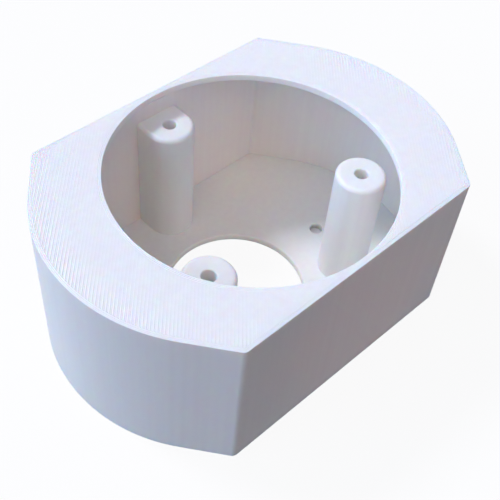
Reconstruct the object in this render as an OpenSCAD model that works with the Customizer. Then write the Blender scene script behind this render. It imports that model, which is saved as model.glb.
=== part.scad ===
// Wall mount for a round-based surveillance camera: one hollow printed body.
// The body stands on its wall face at z = 0, with its opening towards +Z.
// X runs along the body, and Y runs across its two flats.

/* [Outline] */
// Length of the body over its two round ends
body_l = 122; // [112:0.5:140]
// Width of the body over its two flats
body_w = 83.5; // [82:0.5:92]
// Radius of each round end
end_r = 48.5; // [46:0.5:56]
// Angle at which a round end runs out into its straight shoulder
shoulder_deg = 38; // [30:1:44]
// Rounding of the upright corners between a shoulder and a flat
corner_r = 2; // [0.5:0.1:4]

/* [Shell] */
// Height from the wall face to the front face
body_h = 49; // [35:0.5:80]
// Thickness of the upright wall
wall_t = 2; // [1.6:0.1:4]
// Thickness of the floor that lies on the wall
floor_t = 2; // [1.2:0.1:5]
// Thickness of the front plate round the opening
plate_t = 2; // [1.2:0.1:4]
// Rounding of the upright corners inside the body
inner_corner_r = 1; // [0.4:0.1:3]

/* [Camera seat] */
// Diameter of the opening that takes the camera's base
opening_d = 80; // [70:0.5:81]
// Depth of the screw posts' tops below the front face
seat_depth = 7; // [4:0.5:20]
// Diameter of the circle through the three screw holes
screw_pcd = 66; // [54:0.1:66.4]
// Place of that circle along the body
seat_x = -0.6; // [-1:0.1:1]
// Place of that circle across the body
seat_y = 0.8; // [-1:0.1:1]
// Diameter of each screw post
post_d = 14.6; // [9:0.1:15]
// Rounding of each post's top edge
post_edge_r = 1.4; // [0.3:0.1:2]
// Diameter of the screw hole in each post
screw_d = 4; // [2:0.1:6]
// Depth of the screw hole in each post
screw_depth = 26; // [8:0.5:30]

/* [Wall side] */
// Diameter of the hole for the camera's cable
cable_d = 42; // [16:0.5:44]
// Place of the cable hole along the body
cable_x = -3.4; // [-4:0.1:4]
// Place of the cable hole across the body
cable_y = -0.8; // [-2:0.1:2]
// Diameter of the two holes for the wall screws
fixing_d = 4; // [2.5:0.1:6]
// Distance between the two wall screws
fixing_pitch = 66; // [60:0.5:80]

/* [Hidden] */

$fn = 96;
post_count = 3;
webbed_post_deg = 90;
// How far each shoulder lies inside the tangent of its round end, so that the two cross cleanly
shoulder_bite = 0.02;
eps = 0.01;
past = 1;

end_x = body_l / 2 - end_r;
post_top = body_h - seat_depth;
post_h = post_top - floor_t;
body_white = [0.91, 0.92, 0.94];

// A quarter of the outline, from its flat round the corner and along the straight shoulder.
// Every face of it lies inset from the outer one by the same wall.
function flat_y(inset) = body_w / 2 - inset;
function shoulder_r(inset) = end_r - inset - shoulder_bite;
function corner_y(inset, r) = flat_y(inset) - r;
function corner_x(inset, r) =
    end_x + (shoulder_r(inset) - r - corner_y(inset, r) * sin(shoulder_deg)) / cos(shoulder_deg);
function quarter(inset, r) = [
    [corner_x(inset, r), flat_y(inset)],
    [corner_x(inset, r) + r * cos(shoulder_deg), corner_y(inset, r) + r * sin(shoulder_deg)],
    [end_x + shoulder_r(inset) * cos(shoulder_deg), shoulder_r(inset) * sin(shoulder_deg)]
];

// A list of points mirrored by the signs given, in the opposite order so that the loop goes on
function mirrored(points, sx, sy) =
    [for (i = [len(points) - 1:-1:0]) [points[i][0] * sx, points[i][1] * sy]];

// Upright prism between two heights, on the outline inset by a wall, with rounded corners
module outline_prism(inset, r, z_low, z_high) {
    one_end = concat(quarter(inset, r), mirrored(quarter(inset, r), 1, -1));
    h = z_high - z_low;
    translate([0, 0, z_low]) {
        linear_extrude(h) polygon(concat(one_end, mirrored(one_end, -1, 1)));
        for (side = [-1, 1]) {
            intersection() {
                translate([side * end_x, 0, 0]) cylinder(h = h, r = end_r - inset);
                translate([-body_l, -corner_y(inset, r), 0]) cube([2 * body_l, 2 * corner_y(inset, r), h]);
            }
            for (way = [-1, 1])
                translate([side * corner_x(inset, r), way * corner_y(inset, r), 0]) cylinder(h = h, r = r);
        }
    }
}

module at_posts() {
    translate([seat_x, seat_y, 0])
        for (i = [0:post_count - 1])
            rotate(webbed_post_deg + i * 360 / post_count)
                translate([screw_pcd / 2, 0, 0]) children();
}

// Round post from inside the floor up to its rounded top edge
module screw_post() {
    rotate_extrude() {
        square([post_d / 2, post_h + eps - post_edge_r]);
        square([post_d / 2 - post_edge_r, post_h + eps]);
        translate([post_d / 2 - post_edge_r, post_h + eps - post_edge_r]) circle(post_edge_r);
    }
}

// Web that joins the post at the back flat to the wall behind it
module wall_web() {
    translate([seat_x - post_d / 2, seat_y + screw_pcd / 2, floor_t - eps])
        cube([post_d, flat_y(wall_t) + eps - seat_y - screw_pcd / 2, post_h + eps]);
}

module mount_body() {
    color(body_white)
        difference() {
            union() {
                difference() {
                    outline_prism(0, corner_r, 0, body_h);
                    outline_prism(wall_t, inner_corner_r, floor_t, body_h - plate_t);
                    translate([0, 0, body_h - plate_t - eps]) cylinder(h = plate_t + past, d = opening_d);
                }
                at_posts() translate([0, 0, floor_t - eps]) screw_post();
                wall_web();
            }
            at_posts() translate([0, 0, post_top - screw_depth]) cylinder(h = screw_depth + past, d = screw_d);
            translate([cable_x, cable_y, -past]) cylinder(h = floor_t + 2 * past, d = cable_d);
            for (side = [-1, 1])
                translate([side * fixing_pitch / 2, 0, -past]) cylinder(h = floor_t + 2 * past, d = fixing_d);
        }
}

mount_body();
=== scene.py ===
"""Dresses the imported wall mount: the printed body, its print lines, and a plain studio stage."""

import math

import bmesh
import bpy
from mathutils import Euler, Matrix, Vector


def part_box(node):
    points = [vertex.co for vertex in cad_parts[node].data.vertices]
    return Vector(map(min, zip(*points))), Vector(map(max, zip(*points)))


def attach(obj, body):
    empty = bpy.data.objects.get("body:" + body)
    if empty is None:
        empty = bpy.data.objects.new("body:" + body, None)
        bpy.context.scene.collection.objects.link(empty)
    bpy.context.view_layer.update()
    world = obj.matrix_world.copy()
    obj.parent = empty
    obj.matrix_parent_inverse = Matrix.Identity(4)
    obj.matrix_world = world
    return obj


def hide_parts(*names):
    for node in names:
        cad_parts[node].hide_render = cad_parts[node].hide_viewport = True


bl_info = {
    "name": "Camera Wall Mount",
    "version": (1, 0, 0),
    "blender": (4, 5, 0),
    "location": "View3D > Sidebar > Wall Mount",
    "description": "Builds the printed camera wall mount, its print lines and a studio stage",
    "category": "Object",
}

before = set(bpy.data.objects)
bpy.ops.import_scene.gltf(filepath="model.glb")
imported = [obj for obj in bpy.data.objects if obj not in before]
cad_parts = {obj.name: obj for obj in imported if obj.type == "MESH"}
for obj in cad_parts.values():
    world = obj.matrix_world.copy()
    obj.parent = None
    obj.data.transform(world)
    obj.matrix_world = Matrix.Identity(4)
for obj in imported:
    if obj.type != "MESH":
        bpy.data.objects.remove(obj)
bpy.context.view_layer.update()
CAD_LOW, CAD_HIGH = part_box("mount_body")
CAD_SIZE = CAD_HIGH - CAD_LOW

BODY_NODE = "mount_body"
PIECE = "printed_body"
PLASTIC = "white_printed_plastic"
MM = 0.001
# Points nearer to each other than this are merged
WELD = 0.0005 * MM
# How far a cutting tool reaches past what it cuts
PAST = 1 * MM


# Sizes and colours that a user may change

def length(name, description, default):
    """A length property, in metres."""
    return bpy.props.FloatProperty(
        name=name, description=description, default=default, min=0.0, precision=6,
        unit="LENGTH", subtype="DISTANCE",
    )


def angle(name, description, degrees):
    """An angle property, given in degrees and kept in radians."""
    return bpy.props.FloatProperty(
        name=name, description=description, default=math.radians(degrees),
        unit="ROTATION", subtype="ANGLE",
    )


def share(name, description, default):
    """A property from none to all, kept between 0 and 1."""
    return bpy.props.FloatProperty(
        name=name, description=description, default=default, min=0.0, max=1.0, subtype="FACTOR",
    )


def colour(name, description, default):
    """A colour property, in linear values."""
    return bpy.props.FloatVectorProperty(
        name=name, description=description, default=default, size=3, min=0.0, max=2.0,
        subtype="COLOR",
    )


def place(name, description, default):
    """A point property, in metres."""
    return bpy.props.FloatVectorProperty(
        name=name, description=description, default=default, size=3, precision=5,
        unit="LENGTH", subtype="TRANSLATION",
    )


class MountSizes(bpy.types.PropertyGroup):
    """Sizes of the printed body."""

    body_length: length("Body Length", "Length over the two round ends", CAD_SIZE.x)
    body_width: length("Body Width", "Width over the two flats", CAD_SIZE.y)
    body_height: length("Body Height", "Height from the wall face to the front face", CAD_SIZE.z)
    end_radius: length("End Radius", "Radius of each round end", 48.5 * MM)
    shoulder_angle: angle("Shoulder Angle", "Where a round end runs out into its shoulder", 38)
    corner_radius: length("Corner Radius", "Rounding of the corners outside", 2 * MM)
    inner_corner_radius: length("Inner Corner Radius", "Rounding of the corners inside", 1 * MM)
    wall: length("Wall", "Thickness of the upright wall", 2 * MM)
    floor: length("Floor", "Thickness of the floor", 2 * MM)
    plate: length("Plate", "Thickness of the front plate", 2 * MM)
    opening_radius: length("Opening Radius", "Radius of the opening in the front plate", 40 * MM)
    seat_depth: length("Seat Depth", "Depth of the posts' tops below the front face", 7 * MM)
    post_circle: length("Post Circle", "Radius of the circle through the posts", 33 * MM)
    seat_place: place(
        "Seat Place", "Middle of the circle through the posts", (-0.6 * MM, 0.8 * MM, 0))
    post_radius: length("Post Radius", "Radius of a screw post", 7.3 * MM)
    post_edge: length("Post Edge", "Rounding of a post's top edge", 1.4 * MM)
    screw_radius: length("Screw Radius", "Radius of the screw holes", 2 * MM)
    screw_depth: length("Screw Depth", "Depth of the screw holes", 26 * MM)
    cable_radius: length("Cable Radius", "Radius of the cable hole", 21 * MM)
    cable_place: place("Cable Place", "Middle of the cable hole", (-3.4 * MM, -0.8 * MM, 0))
    fixing_radius: length("Fixing Radius", "Radius of the wall-screw holes", 2 * MM)
    fixing_reach: length(
        "Fixing Reach", "Distance of a wall-screw hole from the middle", 33 * MM)
    edge_round: length("Edge Round", "Softness of the body's sharp edges", 0.25 * MM)


class PrintLook(bpy.types.PropertyGroup):
    """Print lines and the colour of the plastic."""

    line_width: length("Line Width", "Width of one printed line on the front face", 0.434 * MM)
    line_height: length(
        "Line Height", "Height of a straight line's crest over its grooves", 0.01 * MM)
    loop_height: length(
        "Loop Height", "Height of an edge line's crest over its grooves", 0.085 * MM)
    pair_step: length("Pair Step", "How much lower every second line lies", 0.008 * MM)
    rim_rise: bpy.props.FloatProperty(
        name="Rim Rise", description="How much stronger the straight lines get near the outline",
        default=7.0, min=0.0)
    rim_start: length(
        "Rim Start", "Distance from the middle where they start to get stronger", 53 * MM)
    rim_end: length("Rim End", "Distance from the middle where they are strongest", 61 * MM)
    line_angle: angle("Line Angle", "Direction of the lines on the front face", 47)
    edge_loops: bpy.props.IntProperty(
        name="Edge Loops", description="Lines that follow the outline and the opening",
        default=3, min=1, max=8)
    layer_height: length("Layer Height", "Height of one printed layer on the walls", 0.2 * MM)
    plastic: colour("Plastic", "Colour of the plastic", (0.975, 0.947, 0.908))
    plastic_shade: colour(
        "Plastic Shade", "Colour of the plastic in its faint streaks", (0.905, 0.877, 0.838))
    roughness: share("Roughness", "Roughness of the plastic", 0.38)
    gloss: share("Gloss", "How much the plastic mirrors", 0.4)
    glow_depth: length("Glow Depth", "How far light gets into the plastic", 1.5 * MM)
    glow: colour(
        "Glow", "How far each of red, green and blue gets, as a share of that depth",
        (1.0, 0.55, 0.35))


class StudioLook(bpy.types.PropertyGroup):
    """Camera, lights and floor."""

    camera_place: place("Camera Place", "Where the camera stands", (-0.12387, -0.11446, 0.21151))
    camera_aim: place("Camera Aim", "What the camera points at", (-0.01999, -0.02018, 0.049))
    camera_roll: angle("Camera Roll", "How far the camera leans", 5.973)
    lens: bpy.props.FloatProperty(
        name="Lens", description="Focal length on a 36 mm sensor",
        default=62.92, min=1.0, subtype="DISTANCE_CAMERA")
    main_from: place("Main From", "Where the main lamp's light comes from", (-0.25, 0.78, 1.0))
    main_light: colour(
        "Main Light", "Strength of the main lamp in red, green and blue", (0.49, 0.505, 0.595))
    main_softness: angle("Main Softness", "Width of the main lamp as seen from the object", 13)
    side_from: place("Side From", "Where the side lamp's light comes from", (-1.0, 0.35, 0.35))
    side_light: colour(
        "Side Light", "Strength of the side lamp in red, green and blue", (0.325, 0.45, 0.66))
    side_softness: angle("Side Softness", "Width of the side lamp as seen from the object", 60)
    front_from: place("Front From", "Where the front lamp's light comes from", (-0.5, -0.5, 1.2))
    front_light: colour(
        "Front Light", "Strength of the front lamp in red, green and blue", (0.212, 0.152, 0.112))
    front_softness: angle("Front Softness", "Width of the front lamp as seen from the object", 50)
    fill_from: place("Fill From", "Where the fill lamp's light comes from", (1.0, 0.7, 0.12))
    fill_light: colour(
        "Fill Light", "Strength of the fill lamp in red, green and blue", (0.18, 0.172, 0.17))
    fill_softness: angle("Fill Softness", "Width of the fill lamp as seen from the object", 45)
    sky_colour: colour("Sky Colour", "Colour of the soft light all round", (0.14, 0.202, 0.31))
    floor_colour: colour(
        "Floor Colour", "Colour that the floor sends back to the object", (0.08, 0.05, 0.03))
    # Painted light: inside the cable hole the floor sends back a pale colour, a pool of light that
    # lights the hole from below
    hole_light_colour: colour(
        "Hole Light Colour", "Colour that the floor sends back inside the cable hole",
        (0.95, 0.83, 0.7))
    floor_pale: colour(
        "Floor Pale", "Colour of the floor that the camera sees, under its white",
        (0.85, 0.85, 0.85))
    floor_white: share(
        "Floor White", "Share of plain white in the floor that the camera sees", 0.92)
    floor_reach: length("Floor Reach", "Half the width of the floor", 1.5)


# Node trees

class Wire:
    """A socket of a node tree, on which the usual signs add Math nodes."""

    def __init__(self, net, socket):
        self.net, self.socket = net, socket

    def math(self, operation, *values):
        inputs = dict(enumerate((self,) + values))
        return self.net.add("ShaderNodeMath", {"operation": operation}, inputs)

    def __add__(self, other):
        return self.math("ADD", other)

    def __sub__(self, other):
        return self.math("SUBTRACT", other)

    def __mul__(self, other):
        return self.math("MULTIPLY", other)

    def __truediv__(self, other):
        return self.math("DIVIDE", other)

    def __mod__(self, other):
        return self.math("FLOORED_MODULO", other)

    def __neg__(self):
        return self.math("MULTIPLY", -1.0)

    def __radd__(self, other):
        return self + other

    def __rmul__(self, other):
        return self * other

    def __rsub__(self, other):
        return self.net.add("ShaderNodeMath", {"operation": "SUBTRACT"}, {0: other, 1: self})

    def __rtruediv__(self, other):
        return self.net.add("ShaderNodeMath", {"operation": "DIVIDE"}, {0: other, 1: self})


class Net:
    """A node tree under construction."""

    def __init__(self, tree):
        self.tree = tree
        self.tree.nodes.clear()

    def add(self, kind, settings=None, values=None, out=0):
        """Adds a node of a kind, sets it up, fills or links its sockets, and gives one output."""
        node = self.tree.nodes.new(kind)
        for key, value in (settings or {}).items():
            setattr(node, key, value)
        for key, value in (values or {}).items():
            many = value if isinstance(value, list) else [value]
            for one in many:
                if isinstance(one, Wire):
                    self.tree.links.new(one.socket, node.inputs[key])
                else:
                    node.inputs[key].default_value = one
        return Wire(self, node.outputs[out]) if len(node.outputs) else node

    def also(self, wire, out):
        """Another output of the node that a wire comes from."""
        return Wire(self, wire.socket.node.outputs[out])


def socket_kind(value):
    """The kind of socket that takes a value."""
    if isinstance(value, bpy.types.Material):
        return "NodeSocketMaterial"
    return "NodeSocketInt" if isinstance(value, int) else "NodeSocketFloat"


def geometry_net(name, values):
    """A geometry node tree with an input named for each value, and the wires of its inputs."""
    tree = bpy.data.node_groups.new(name, "GeometryNodeTree")
    tree.interface.new_socket("Geometry", in_out="INPUT", socket_type="NodeSocketGeometry")
    for label, value in values.items():
        socket = tree.interface.new_socket(label, in_out="INPUT", socket_type=socket_kind(value))
        socket.default_value = value
    tree.interface.new_socket("Geometry", in_out="OUTPUT", socket_type="NodeSocketGeometry")
    net = Net(tree)
    first = net.add("NodeGroupInput")
    ends = {"Geometry": first}
    ends.update({label: net.also(first, label) for label in values})
    return net, ends


def run_tree(piece, tree, values):
    """Runs a geometry node tree on a piece and keeps the result as the piece's plain mesh."""
    modifier = piece.modifiers.new("Tree", "NODES")
    modifier.node_group = tree
    for item in tree.interface.items_tree:
        if item.in_out == "INPUT" and item.name in values:
            modifier[item.identifier] = values[item.name]
    keep_result(piece)


def keep_result(piece):
    """Replaces a piece's mesh by what its modifiers make of it, and removes them."""
    graph = bpy.context.evaluated_depsgraph_get()
    made = bpy.data.meshes.new_from_object(
        piece.evaluated_get(graph), preserve_all_data_layers=True, depsgraph=graph)
    old = piece.data
    piece.modifiers.clear()
    piece.data = made
    made.name = piece.name
    bpy.data.meshes.remove(old)


# Outline of the body

ARC_STEP = math.radians(2)
CORNER_STEPS = 8


def arc(x, y, radius, start, end, steps):
    """Points along an arc, both ends included."""
    turns = [start + (end - start) * i / steps for i in range(steps + 1)]
    return [(x + radius * math.cos(t), y + radius * math.sin(t)) for t in turns]


def outline(sizes, inset, corner):
    """The body's outline, counter-clockwise, inset from the outer face, with rounded corners."""
    lean = sizes.shoulder_angle
    end_x = sizes.body_length / 2 - sizes.end_radius
    reach = sizes.end_radius - inset
    corner_y = sizes.body_width / 2 - inset - corner
    corner_x = end_x + (reach - corner - corner_y * math.sin(lean)) / math.cos(lean)
    up, back, around = math.pi / 2, math.pi, 2 * math.pi
    end_steps = round(2 * lean / ARC_STEP)
    return (
        arc(end_x, 0, reach, -lean, lean, end_steps)
        + arc(corner_x, corner_y, corner, lean, up, CORNER_STEPS)
        + arc(-corner_x, corner_y, corner, up, back - lean, CORNER_STEPS)
        + arc(-end_x, 0, reach, back - lean, back + lean, end_steps)
        + arc(-corner_x, -corner_y, corner, back + lean, back + up, CORNER_STEPS)
        + arc(corner_x, -corner_y, corner, back + up, around - lean, CORNER_STEPS)
    )


# Solids

ROUND_STEPS = 3
POST_EDGE_STEPS = 6
# The part of a post's rounded top edge that is drawn, in degrees
POST_EDGE_START, POST_EDGE_END = 15, 75
POST_TURN_STEPS = 64
OPENING_TURN_STEPS = 180
HOLE_TURN_STEPS = 96
SCREW_TURN_STEPS = 32
POST_COUNT = 3
FIRST_POST = math.radians(90)
# How far below the floor's face a post starts
SUNK = 0.5 * MM
# One round line on a post's top: shares of its width inwards, and of its height below its crest
LINE_SHAPE = ((0.0, 1.0), (0.2, 0.3), (0.5, 0.0), (0.8, 0.3))


def put_in_scene(name, data):
    """A new object in the scene, with its data."""
    piece = bpy.data.objects.new(name, data)
    bpy.context.scene.collection.objects.link(piece)
    return piece


def solid(name, rings):
    """A closed solid through rings of equally many (x, y, z) points, lowest ring first."""
    mesh = bpy.data.meshes.new(name)
    work = bmesh.new()
    loops = [[work.verts.new(point) for point in ring] for ring in rings]
    count = len(loops[0])
    for low, high in zip(loops, loops[1:]):
        for i in range(count):
            j = (i + 1) % count
            work.faces.new((low[i], low[j], high[j], high[i]))
    work.faces.new(reversed(loops[0]))
    work.faces.new(loops[-1])
    bmesh.ops.recalc_face_normals(work, faces=work.faces)
    work.to_mesh(mesh)
    work.free()
    return put_in_scene(name, mesh)


def prism(name, sizes, steps, corner):
    """A solid on the body's outline, through (inset, height) steps."""
    return solid(name, [
        [(x, y, z) for x, y in outline(sizes, inset, max(corner - inset, WELD))]
        for inset, z in steps
    ])


def turned(name, profile, steps, x=0.0, y=0.0):
    """A solid turned round an upright axis, through (radius, height) steps from bottom to top."""
    turns = [2 * math.pi * i / steps for i in range(steps)]
    return solid(name, [
        [(x + radius * math.cos(t), y + radius * math.sin(t), z) for t in turns]
        for radius, z in profile
    ])


def combine(piece, tool, operation):
    """Adds a boolean step to a piece."""
    step = piece.modifiers.new(operation.title(), "BOOLEAN")
    step.operation, step.solver, step.object = operation, "MANIFOLD", tool


def drop(*pieces):
    """Removes pieces that were only tools."""
    for piece in pieces:
        mesh = piece.data
        bpy.data.objects.remove(piece)
        bpy.data.meshes.remove(mesh)


def rounded_edge(radius, steps, start, end):
    """(inwards, upwards) offsets along a quarter round between two angles in degrees."""
    turns = [math.radians(start + (end - start) * i / steps) for i in range(steps + 1)]
    return [(radius * (1 - math.cos(t)), radius * math.sin(t)) for t in turns]


def post_places(sizes):
    """Middle of each screw post, the one joined to the wall first."""
    x, y, _ = sizes.seat_place
    reach = sizes.post_circle
    turns = [FIRST_POST + 2 * math.pi * i / POST_COUNT for i in range(POST_COUNT)]
    return [(x + reach * math.cos(t), y + reach * math.sin(t)) for t in turns]


def post_top(sizes):
    """Height of the screw posts' tops."""
    return sizes.body_height - sizes.seat_depth


def post_sides(sizes):
    """(half width, height) steps up a screw post and round its top edge, to below its top."""
    start = post_top(sizes) - sizes.post_edge
    edge = rounded_edge(sizes.post_edge, POST_EDGE_STEPS, POST_EDGE_START, POST_EDGE_END)
    steps = [(sizes.post_radius, sizes.floor - SUNK), (sizes.post_radius, start)]
    return steps + [(sizes.post_radius - inwards, start + upwards) for inwards, upwards in edge]


def wall_web(sizes, look, post):
    """The web that joins a post to the wall behind it, with the post's own rounded edges."""
    x, y = post
    back = sizes.body_width / 2 - sizes.wall / 2
    steps = post_sides(sizes)
    steps.append((sizes.post_radius - sizes.post_edge, post_top(sizes) - look.line_height))
    return solid("web", [
        [(x - half, y, z), (x + half, y, z), (x + half, back, z), (x - half, back, z)]
        for half, z in steps
    ])


def post_profile(sizes, look):
    """(radius, height) steps of a screw post, with the round lines that its top is printed in."""
    top, line, crest = post_top(sizes), look.line_width, look.line_height
    steps = post_sides(sizes)
    radius = sizes.post_radius - sizes.post_edge
    while radius > sizes.screw_radius / 2:
        steps += [(radius - across * line, top - below * crest) for across, below in LINE_SHAPE]
        radius -= line
    steps.append((radius, top - crest))
    return steps


def hole_profile(radius, mouth, bottom, top):
    """(radius, height) steps of a hole with a chamfered mouth, up past the face it opens in."""
    return [
        (radius, bottom), (radius, top - mouth),
        (radius + mouth, top), (radius + mouth, top + PAST),
    ]


def make_shell(sizes, look):
    """The hollow body with its posts, web and holes, up to the grooves of the front face."""
    height, soft = sizes.body_height, sizes.edge_round
    deepest_line = (look.line_height + look.pair_step) * (1 + look.rim_rise)
    top = height - max(look.loop_height + look.pair_step, deepest_line)
    rim = rounded_edge(soft, ROUND_STEPS, 0, 90)
    low_edge = [(inwards, soft - upwards) for inwards, upwards in reversed(rim)]
    high_edge = [(inwards, top - soft + upwards) for inwards, upwards in rim]
    shell = prism(PIECE, sizes, low_edge + high_edge, sizes.corner_radius)

    under_plate = height - sizes.plate
    cavity = prism(
        "cavity", sizes, [(sizes.wall, sizes.floor), (sizes.wall, under_plate)],
        sizes.wall + sizes.inner_corner_radius)
    opening = turned(
        "opening",
        [(sizes.opening_radius, under_plate - WELD), (sizes.opening_radius, height + PAST)],
        OPENING_TURN_STEPS)

    places = post_places(sizes)
    profile = post_profile(sizes, look)
    raised = [turned("post", profile, POST_TURN_STEPS, x, y) for x, y in places]
    raised.append(wall_web(sizes, look, places[0]))

    seat = post_top(sizes)
    profile = hole_profile(sizes.screw_radius, soft, seat - sizes.screw_depth, seat)
    holes = [turned("screw_hole", profile, SCREW_TURN_STEPS, x, y) for x, y in places]
    x, y, _ = sizes.cable_place
    profile = hole_profile(sizes.cable_radius, soft, -PAST, sizes.floor)
    holes.append(turned("cable_hole", profile, HOLE_TURN_STEPS, x, y))
    profile = hole_profile(sizes.fixing_radius, soft, -PAST, sizes.floor)
    for x in (-sizes.fixing_reach, sizes.fixing_reach):
        holes.append(turned("fixing_hole", profile, SCREW_TURN_STEPS, x))

    for tool in (cavity, opening):
        combine(shell, tool, "DIFFERENCE")
    for tool in raised:
        combine(shell, tool, "UNION")
    for tool in holes:
        combine(shell, tool, "DIFFERENCE")
    keep_result(shell)
    drop(cavity, opening, *raised, *holes)


# Print lines of the front face

# Steps across one line, and points along it
LINE_CUTS = 4
LINE_POINTS = 33
RASTER_SPAN = 160 * MM
# How deep the sheet of lines goes into the body
SHEET_DEPTH = 0.4 * MM
# Heights of the two tools that trim it, in its own depths
REGION_HEIGHT = 4.0
HOLE_HEIGHT = 8.0
# How far the straight lines reach under the loops
OVERLAP = 0.04 * MM


def line_relief(net, across, ends):
    """Height of the printed lines below their crests, over the distance across them."""
    off_crest = (across / ends["Line Width"]) % 1.0 - 0.5
    # 0 on the crest and 1 where two lines meet
    bow = off_crest * off_crest * 4.0
    second = (across / ends["Line Width"] / 2.0) % 1.0
    low = second.math("GREATER_THAN", 0.5)
    return -(bow * ends["Line Height"]) - low * ends["Pair Step"]


def lifted(net, geometry, height):
    """Geometry moved up by a height, which may differ from point to point."""
    lift = net.add("ShaderNodeCombineXYZ", values={"Z": height})
    return net.add("GeometryNodeSetPosition", values={"Geometry": geometry, "Offset": lift})


def closed_below(net, sheet, depth):
    """A closed solid from an open sheet that faces up, going straight down by a depth."""
    low = lifted(net, sheet, -depth)
    up = net.add("ShaderNodeCombineXYZ", values={"Z": 1.0})
    raised = net.add("GeometryNodeExtrudeMesh", {"mode": "FACES"}, {
        "Mesh": low, "Offset": up, "Offset Scale": depth, "Individual": False})
    under = net.add("GeometryNodeFlipFaces", values={"Mesh": low})
    both = net.add("GeometryNodeJoinGeometry", values={"Geometry": [raised, under]})
    return net.add("GeometryNodeMergeByDistance", values={"Geometry": both, "Distance": WELD})


def trimmed(net, operation, meshes):
    """The result of a boolean on meshes, given by the names of its inputs."""
    settings = {"operation": operation, "solver": "MANIFOLD"}
    return net.add("GeometryNodeMeshBoolean", settings, meshes)


def finished_tree(net, geometry, ends):
    """Ends a tree in plain geometry with its material."""
    plain = net.add("GeometryNodeRealizeInstances", values={"Geometry": geometry})
    plain = net.add("GeometryNodeSetMaterial", values={
        "Geometry": plain, "Material": ends["Material"]})
    net.add("NodeGroupOutput", values={"Geometry": plain})
    return net.tree


def point_place(net):
    """X and Y of each point."""
    x = net.add("ShaderNodeSeparateXYZ", values={0: net.add("GeometryNodeInputPosition")})
    return x, net.also(x, "Y")


def raster_tree(values):
    """Tree that fills the path that it is given with straight lines, up to the opening."""
    net, ends = geometry_net("Front lines", values)
    count = (ends["Span"] / ends["Line Width"]).math("FLOOR")
    rows = count * float(LINE_CUTS) + 1.0
    span = count * ends["Line Width"]
    grid = net.add("GeometryNodeMeshGrid", values={
        "Size X": ends["Span"], "Size Y": span, "Vertices X": LINE_POINTS, "Vertices Y": rows})
    x, y = point_place(net)
    reach = (x * x + y * y).math("SQRT")
    rise = net.add("ShaderNodeMapRange", values={
        "Value": reach, "From Min": ends["Rim Start"], "From Max": ends["Rim End"],
        "To Min": 1.0, "To Max": ends["Rim Rise"] + 1.0})
    relief = line_relief(net, y + span / 2.0, ends)
    sheet = lifted(net, grid, relief * rise + ends["Crest"])
    turn = net.add("ShaderNodeCombineXYZ", values={"Z": ends["Line Angle"]})
    sheet = net.add("GeometryNodeTransform", values={"Geometry": sheet, "Rotation": turn})
    lines = closed_below(net, sheet, ends["Sheet Depth"])

    tall = ends["Sheet Depth"] * REGION_HEIGHT
    region = net.add("GeometryNodeMeshToCurve", values={"Mesh": ends["Geometry"]})
    region = net.add("GeometryNodeFillCurve", values={"Curve": region})
    region = closed_below(net, lifted(net, region, ends["Crest"] + tall / 2.0), tall)
    band = ends["Line Width"] * ends["Edge Loops"]
    hole = net.add("GeometryNodeMeshCylinder", {"fill_type": "NGON"}, {
        "Vertices": OPENING_TURN_STEPS, "Side Segments": 1, "Fill Segments": 1,
        "Radius": ends["Opening Radius"] + band - ends["Overlap"],
        "Depth": ends["Sheet Depth"] * HOLE_HEIGHT})
    hole = lifted(net, hole, ends["Crest"])
    cut = trimmed(net, "INTERSECT", {"Mesh 2": [lines, region]})
    cut = trimmed(net, "DIFFERENCE", {"Mesh 1": cut, "Mesh 2": hole})
    return finished_tree(net, cut, ends)


def loops_tree(values):
    """Tree that lays lines side by side to the left of the path that it is given."""
    net, ends = geometry_net("Edge lines", values)
    path = net.add("GeometryNodeMeshToCurve", values={"Mesh": ends["Geometry"]})
    path = net.add("GeometryNodeSetCurveNormal", {"mode": "Z_UP"}, {"Curve": path})
    step = net.add("ShaderNodeCombineXYZ", values={"X": ends["Line Width"] / float(LINE_CUTS)})
    line = net.add("GeometryNodeMeshLine", values={
        "Count": ends["Edge Loops"] * float(LINE_CUTS) + 1.0, "Offset": step})
    across = point_place(net)[0]
    height = net.add("ShaderNodeCombineXYZ", values={"Y": -line_relief(net, across, ends)})
    line = net.add("GeometryNodeSetPosition", values={"Geometry": line, "Offset": height})
    profile = net.add("GeometryNodeMeshToCurve", values={"Mesh": line})
    sheet = net.add("GeometryNodeCurveToMesh", values={"Curve": path, "Profile Curve": profile})
    ring = closed_below(net, lifted(net, sheet, ends["Crest"]), ends["Sheet Depth"])
    return finished_tree(net, ring, ends)


def closed_path(name, points):
    """An object with one closed chain of edges in the XY plane."""
    mesh = bpy.data.meshes.new(name)
    corners = [(x, y, 0) for x, y in points]
    count = len(corners)
    mesh.from_pydata(corners, [(i, (i + 1) % count) for i in range(count)], [])
    return put_in_scene(name, mesh)


class MOUNT_OT_printed_body(bpy.types.Operator):
    """Build the hollow printed body with its screw posts and holes"""

    bl_idname = "mount.printed_body"
    bl_label = "Printed Body"

    def execute(self, context):
        make_shell(context.scene.mount_sizes, context.scene.mount_look)
        return {"FINISHED"}


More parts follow.
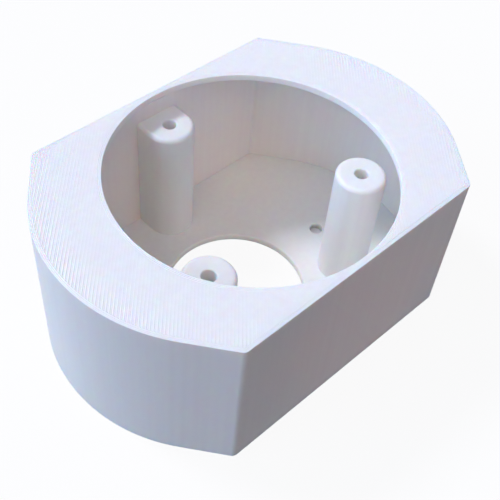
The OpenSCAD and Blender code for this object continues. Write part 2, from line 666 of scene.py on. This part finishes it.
class MOUNT_OT_front_face(bpy.types.Operator):
    """Print the front face: straight lines between loops that follow its two edges"""

    bl_idname = "mount.front_face"
    bl_label = "Front Face"

    def execute(self, context):
        sizes, look = context.scene.mount_sizes, context.scene.mount_look
        body = bpy.data.objects[PIECE]
        values = {
            "Crest": sizes.body_height, "Line Width": look.line_width,
            "Line Height": look.line_height, "Pair Step": look.pair_step,
            "Line Angle": look.line_angle, "Edge Loops": look.edge_loops,
            "Rim Rise": look.rim_rise, "Rim Start": look.rim_start, "Rim End": look.rim_end,
            "Opening Radius": sizes.opening_radius, "Span": RASTER_SPAN,
            "Sheet Depth": SHEET_DEPTH, "Overlap": OVERLAP, "Material": printed_plastic(look),
        }
        inset = look.line_width * look.edge_loops - OVERLAP
        inside = outline(sizes, inset, sizes.corner_radius - inset)
        lines = closed_path("front_lines", inside)
        run_tree(lines, raster_tree(values), values)

        values["Line Height"] = look.loop_height
        loops = loops_tree(values)
        outer = closed_path("outline_lines", reversed(outline(sizes, 0.0, sizes.corner_radius)))
        run_tree(outer, loops, values)
        rim = arc(0, 0, sizes.opening_radius, 0, 2 * math.pi, OPENING_TURN_STEPS)[:-1]
        inner = closed_path("opening_lines", rim)
        run_tree(inner, loops, values)

        for tool in (lines, outer, inner):
            combine(body, tool, "UNION")
        keep_result(body)
        drop(lines, outer, inner)
        return {"FINISHED"}


# Faces that meet at a sharper turn than this keep a hard edge between them
SHARP_FROM = math.radians(32)


class MOUNT_OT_finish_body(bpy.types.Operator):
    """Smooth the printed body's shading and let it stand for the plain solid"""

    bl_idname = "mount.finish_body"
    bl_label = "Finish Body"

    def execute(self, context):
        body = bpy.data.objects[PIECE]
        mesh = body.data
        mesh.materials.clear()
        mesh.materials.append(bpy.data.materials[PLASTIC])
        mesh.polygons.foreach_set("material_index", [0] * len(mesh.polygons))
        mesh.polygons.foreach_set("use_smooth", [True] * len(mesh.polygons))
        mesh.set_sharp_from_angle(angle=SHARP_FROM)
        even = body.modifiers.new("Even", "WEIGHTED_NORMAL")
        even.keep_sharp = True
        keep_result(body)
        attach(body, "root")
        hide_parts(BODY_NODE)
        return {"FINISHED"}


# Materials

WHITE = (1.0, 1.0, 1.0, 1.0)
# Sockets of a Mix node when it mixes colours
MIX_FIRST, MIX_SECOND, MIX_RESULT = 6, 7, 2
# Streaks are narrow across the walls and long up them
STREAK_SCALE = (500.0, 500.0, 6.0)
STREAK_DETAIL, STREAK_ROUGHNESS = 3.0, 0.6
GRAIN_SCALE = 2600.0
GRAIN_DETAIL, GRAIN_ROUGHNESS = 2.0, 0.5
# Shares of the layers, the streaks and the grain in the bump
LAYER_SHARE, STREAK_SHARE, GRAIN_SHARE = 0.35, 0.8, 0.8
BUMP_STRENGTH, BUMP_DEPTH = 0.35, 0.04 * MM
# How far the grain spreads the roughness
ROUGHNESS_SPREAD = 0.08
PLASTIC_IOR = 1.46
# Width of the disc without added white under a wall-screw hole, in widths of the hole. The disc is
# put where shade falls, so that the shade below the hole shows
SHADE_DISC_WIDTH = 2.0


def material_net(name):
    """A new material and its emptied node tree."""
    material = bpy.data.materials.new(name)
    material.use_nodes = True
    return material, Net(material.node_tree)


def opaque(tint):
    """A colour of three values with full alpha."""
    return (*tint, 1.0)


def mixed(net, factor, first, second):
    """Two colours mixed by a factor that may change over the surface."""
    return net.add("ShaderNodeMix", {"data_type": "RGBA"}, {
        "Factor": factor, MIX_FIRST: opaque(first), MIX_SECOND: opaque(second)}, out=MIX_RESULT)


def printed_plastic(look):
    """White printed plastic with fine layers, faint upright streaks and a little grain."""
    material, net = material_net(PLASTIC)
    spot = net.add("ShaderNodeTexCoord", out="Object")
    z = net.add("ShaderNodeSeparateXYZ", values={0: spot}, out="Z")
    layer = (z * (2 * math.pi / look.layer_height)).math("SINE")
    upright = net.add("ShaderNodeMapping", {"vector_type": "POINT"}, {
        "Vector": spot, "Scale": STREAK_SCALE})
    streaks = net.add("ShaderNodeTexNoise", values={
        "Vector": upright, "Scale": 1.0, "Detail": STREAK_DETAIL, "Roughness": STREAK_ROUGHNESS})
    grain = net.add("ShaderNodeTexNoise", values={
        "Vector": spot, "Scale": GRAIN_SCALE, "Detail": GRAIN_DETAIL,
        "Roughness": GRAIN_ROUGHNESS})
    relief = layer * LAYER_SHARE + streaks * STREAK_SHARE + grain * GRAIN_SHARE
    bump = net.add("ShaderNodeBump", values={
        "Height": relief, "Strength": BUMP_STRENGTH, "Distance": BUMP_DEPTH})
    plastic = net.add("ShaderNodeBsdfPrincipled", values={
        "Base Color": mixed(net, streaks, look.plastic_shade, look.plastic),
        "Roughness": grain * ROUGHNESS_SPREAD + (look.roughness - ROUGHNESS_SPREAD / 2),
        "Normal": bump, "IOR": PLASTIC_IOR, "Specular IOR Level": look.gloss,
        "Subsurface Weight": 1.0, "Subsurface Radius": tuple(look.glow),
        "Subsurface Scale": look.glow_depth})
    net.add("ShaderNodeOutputMaterial", values={"Surface": plastic})
    return material


def camera_sees(net):
    """1 where a ray comes from the camera, from a gloss or through glass, else 0."""
    path = net.add("ShaderNodeLightPath", out="Is Camera Ray")
    seen = path.math("MAXIMUM", net.also(path, "Is Glossy Ray"))
    return seen.math("MAXIMUM", net.also(path, "Is Transmission Ray"))


def floor_surface(studio, sizes):
    """Floor that the camera sees nearly white, and that sends two other colours to the object.

    It sends a dark one back, and a pale one inside the cable hole: a painted pool of light that
    lights the hole from below. Under each wall-screw hole the camera sees a disc of it without
    the added white, so that the shade below the hole shows dark.
    """
    material, net = material_net("pale_floor")
    spot = net.add("ShaderNodeTexCoord", out="Object")
    from_cable = net.add("ShaderNodeVectorMath", {"operation": "DISTANCE"}, {
        0: spot, 1: tuple(sizes.cable_place)}, out="Value")
    # Painted light: the floor sends a pale pool of light back inside the cable hole, and a dark
    # colour elsewhere
    painted_light_in_hole = from_cable.math("LESS_THAN", sizes.cable_radius)
    sent = net.add("ShaderNodeBsdfDiffuse", values={
        "Color": mixed(net, painted_light_in_hole, studio.floor_colour, studio.hole_light_colour)})

    # A disc where shade falls under each wall-screw hole: the floor there lacks the added white,
    # so the shade below the hole shows dark
    x = net.add("ShaderNodeSeparateXYZ", values={0: spot})
    along, across = x.math("ABSOLUTE") - sizes.fixing_reach, net.also(x, "Y")
    from_fixing = (along * along + across * across).math("SQRT")
    off_shade_disc = from_fixing.math("GREATER_THAN", SHADE_DISC_WIDTH * sizes.fixing_radius)
    pale = net.add("ShaderNodeBsdfDiffuse", values={"Color": opaque(studio.floor_pale)})
    white = net.add("ShaderNodeEmission", values={"Color": WHITE, "Strength": 1.0})
    seen = net.add("ShaderNodeMixShader", values={
        0: off_shade_disc * studio.floor_white, 1: pale, 2: white})
    both = net.add("ShaderNodeMixShader", values={0: camera_sees(net), 1: sent, 2: seen})
    net.add("ShaderNodeOutputMaterial", values={"Surface": both})
    return material


# Stage

LAMPS = ("main", "side", "front", "fill")
SENSOR_WIDTH = 36.0
CLIP_START, CLIP_END = 0.01, 10.0


def add_floor(studio, sizes):
    """The floor under the object."""
    reach = studio.floor_reach
    mesh = bpy.data.meshes.new("floor")
    corners = [(-reach, -reach, 0), (reach, -reach, 0), (reach, reach, 0), (-reach, reach, 0)]
    mesh.from_pydata(corners, [], [(0, 1, 2, 3)])
    mesh.materials.append(floor_surface(studio, sizes))
    floor = put_in_scene("floor", mesh)


def add_lamp(studio, name):
    """A lamp that lights a matt white face turned to it as bright as its own colour."""
    lamp = bpy.data.lights.new(name, "SUN")
    lamp.energy, lamp.angle = math.pi, getattr(studio, name + "_softness")
    lamp.color = getattr(studio, name + "_light")
    holder = put_in_scene(name, lamp)
    holder.rotation_mode = "QUATERNION"
    away = -Vector(getattr(studio, name + "_from"))
    holder.rotation_quaternion = away.to_track_quat("-Z", "Y")


def add_world(scene, studio):
    """Soft light all round, and white where the camera looks past the floor."""
    world = bpy.data.worlds.new("studio")
    scene.world = world
    world.use_nodes = True
    net = Net(world.node_tree)
    soft = net.add("ShaderNodeBackground", values={
        "Color": opaque(studio.sky_colour), "Strength": 1.0})
    white = net.add("ShaderNodeBackground", values={"Color": WHITE, "Strength": 1.0})
    both = net.add("ShaderNodeMixShader", values={0: camera_sees(net), 1: soft, 2: white})
    net.add("ShaderNodeOutputWorld", values={"Surface": both})


def add_camera(scene, studio):
    """The camera, where the photo was taken from."""
    view = bpy.data.cameras.new("camera")
    view.lens, view.sensor_width, view.sensor_fit = studio.lens, SENSOR_WIDTH, "HORIZONTAL"
    view.clip_start, view.clip_end = CLIP_START, CLIP_END
    camera = put_in_scene("camera", view)
    camera.rotation_mode = "QUATERNION"
    camera.location = studio.camera_place
    aim = (Vector(studio.camera_aim) - Vector(studio.camera_place)).to_track_quat("-Z", "Y")
    camera.rotation_quaternion = aim @ Euler((0, 0, studio.camera_roll)).to_quaternion()
    scene.camera = camera


class MOUNT_OT_stage(bpy.types.Operator):
    """Set up the floor, the lights and the camera"""

    bl_idname = "mount.stage"
    bl_label = "Stage"

    def execute(self, context):
        scene = context.scene
        studio = scene.mount_studio
        add_floor(studio, scene.mount_sizes)
        for name in LAMPS:
            add_lamp(studio, name)
        add_world(scene, studio)
        add_camera(scene, studio)
        scene.view_settings.view_transform = "Standard"
        return {"FINISHED"}


class MOUNT_PT_panel(bpy.types.Panel):
    """Sizes, finish and stage of the camera wall mount"""

    bl_idname = "MOUNT_PT_panel"
    bl_label = "Wall Mount"
    bl_space_type = "VIEW_3D"
    bl_region_type = "UI"
    bl_category = "Wall Mount"

    def draw(self, context):
        for kind in STEPS:
            self.layout.operator(kind.bl_idname)
        for name, kind in GROUPS.items():
            column = self.layout.column(align=True)
            for key in kind.__annotations__:
                column.prop(getattr(context.scene, name), key)


GROUPS = {"mount_sizes": MountSizes, "mount_look": PrintLook, "mount_studio": StudioLook}
STEPS = (MOUNT_OT_printed_body, MOUNT_OT_front_face, MOUNT_OT_finish_body, MOUNT_OT_stage)
CLASSES = (*GROUPS.values(), *STEPS, MOUNT_PT_panel)


def register():
    for kind in CLASSES:
        bpy.utils.register_class(kind)
    for name, kind in GROUPS.items():
        setattr(bpy.types.Scene, name, bpy.props.PointerProperty(type=kind))


def unregister():
    for name in GROUPS:
        delattr(bpy.types.Scene, name)
    for kind in reversed(CLASSES):
        bpy.utils.unregister_class(kind)


def main():
    register()
    bpy.ops.mount.printed_body()
    bpy.ops.mount.front_face()
    bpy.ops.mount.finish_body()
    bpy.ops.mount.stage()


if __name__ == "__main__":
    main()
